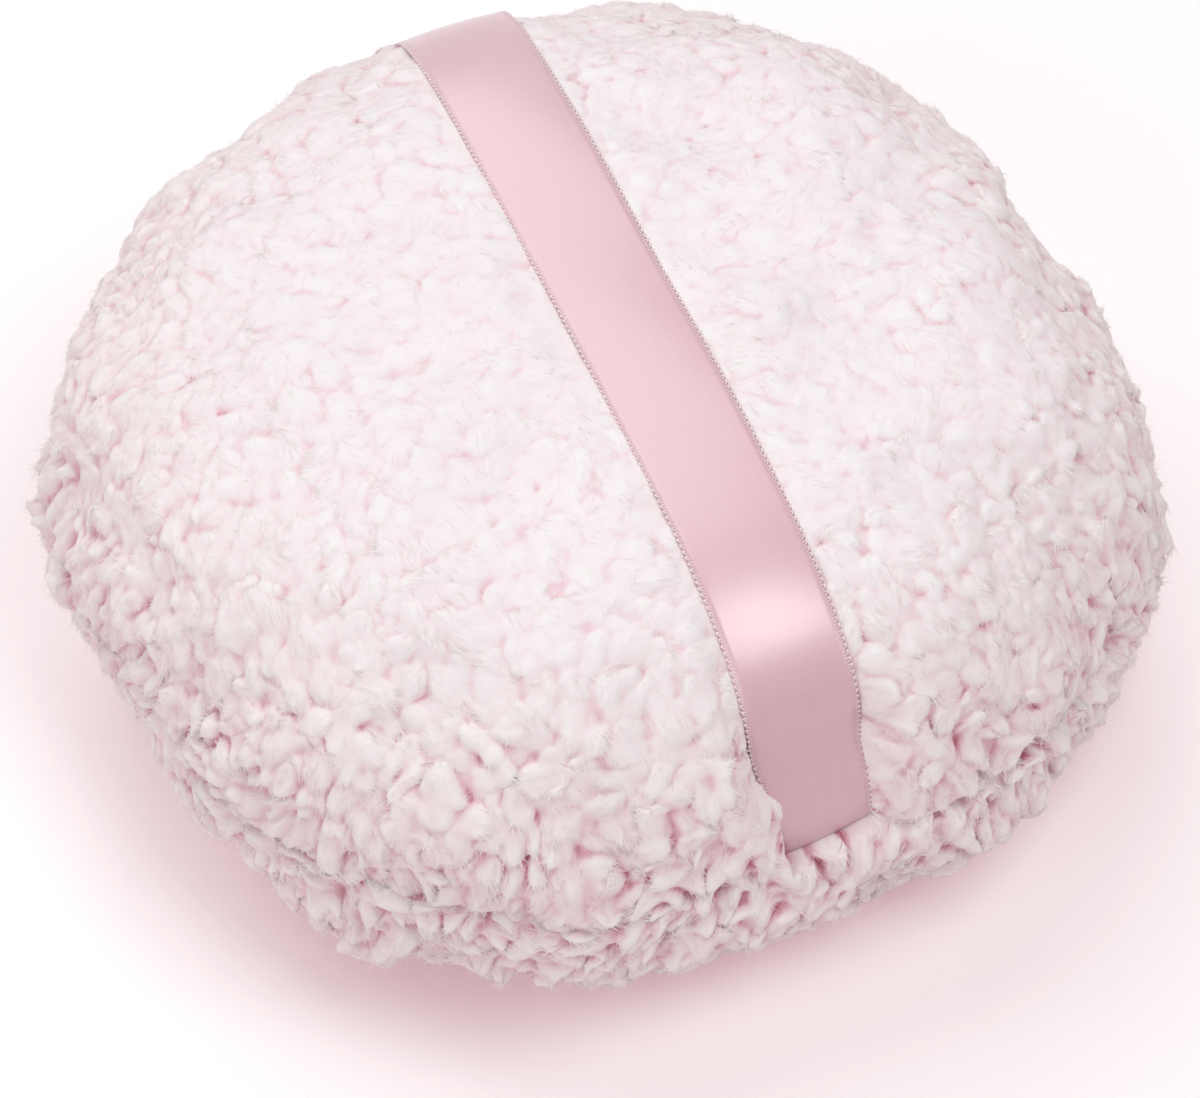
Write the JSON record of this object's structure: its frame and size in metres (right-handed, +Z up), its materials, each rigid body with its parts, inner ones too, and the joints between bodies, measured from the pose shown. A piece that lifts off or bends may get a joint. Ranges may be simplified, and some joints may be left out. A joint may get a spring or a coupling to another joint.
{
  "type": "powder puff",
  "caption": "Round plush powder puff: fleece cushions sewn rim to rim round a fibre wad, with a satin ribbon arched over the top as a hand strap.",
  "frame": {"origin": "middle of the flat that the puff rests on", "axes": "+Z up through the middle of the cushion; the ribbon runs along Y, and its front end, the one nearer the camera in the picture, is at -Y"},
  "size_m": [0.0881, 0.0878, 0.0428],
  "materials": {
    "fleece_pile": "long curly plush pile, white with pink in its depths",
    "knit_backing": "matte pink knit",
    "fibre_fill": "matte white carded fibre",
    "satin_ribbon": "glossy pale pink satin",
    "sewing_thread": "matte pink cotton"
  },
  "bodies": {
    "puff": {"upper_pile": "fleece_pile", "upper_knit_backing": "knit_backing", "lower_pile": "fleece_pile", "lower_knit_backing": "knit_backing", "fibre_wad": "fibre_fill", "ribbon_tail_front": "satin_ribbon", "ribbon_tail_rear": "satin_ribbon", "seam_needle_thread": "sewing_thread", "seam_bobbin_thread": "sewing_thread", "closing_thread": "sewing_thread"},
    "strap": {"ribbon_strap": "satin_ribbon"}
  },
  "joints": [
    {"name": "strap_lift", "type": "slide", "parent": "puff", "child": "strap", "axis": [0, 0, 1], "range_m": [0, 0.01]}
  ]
}
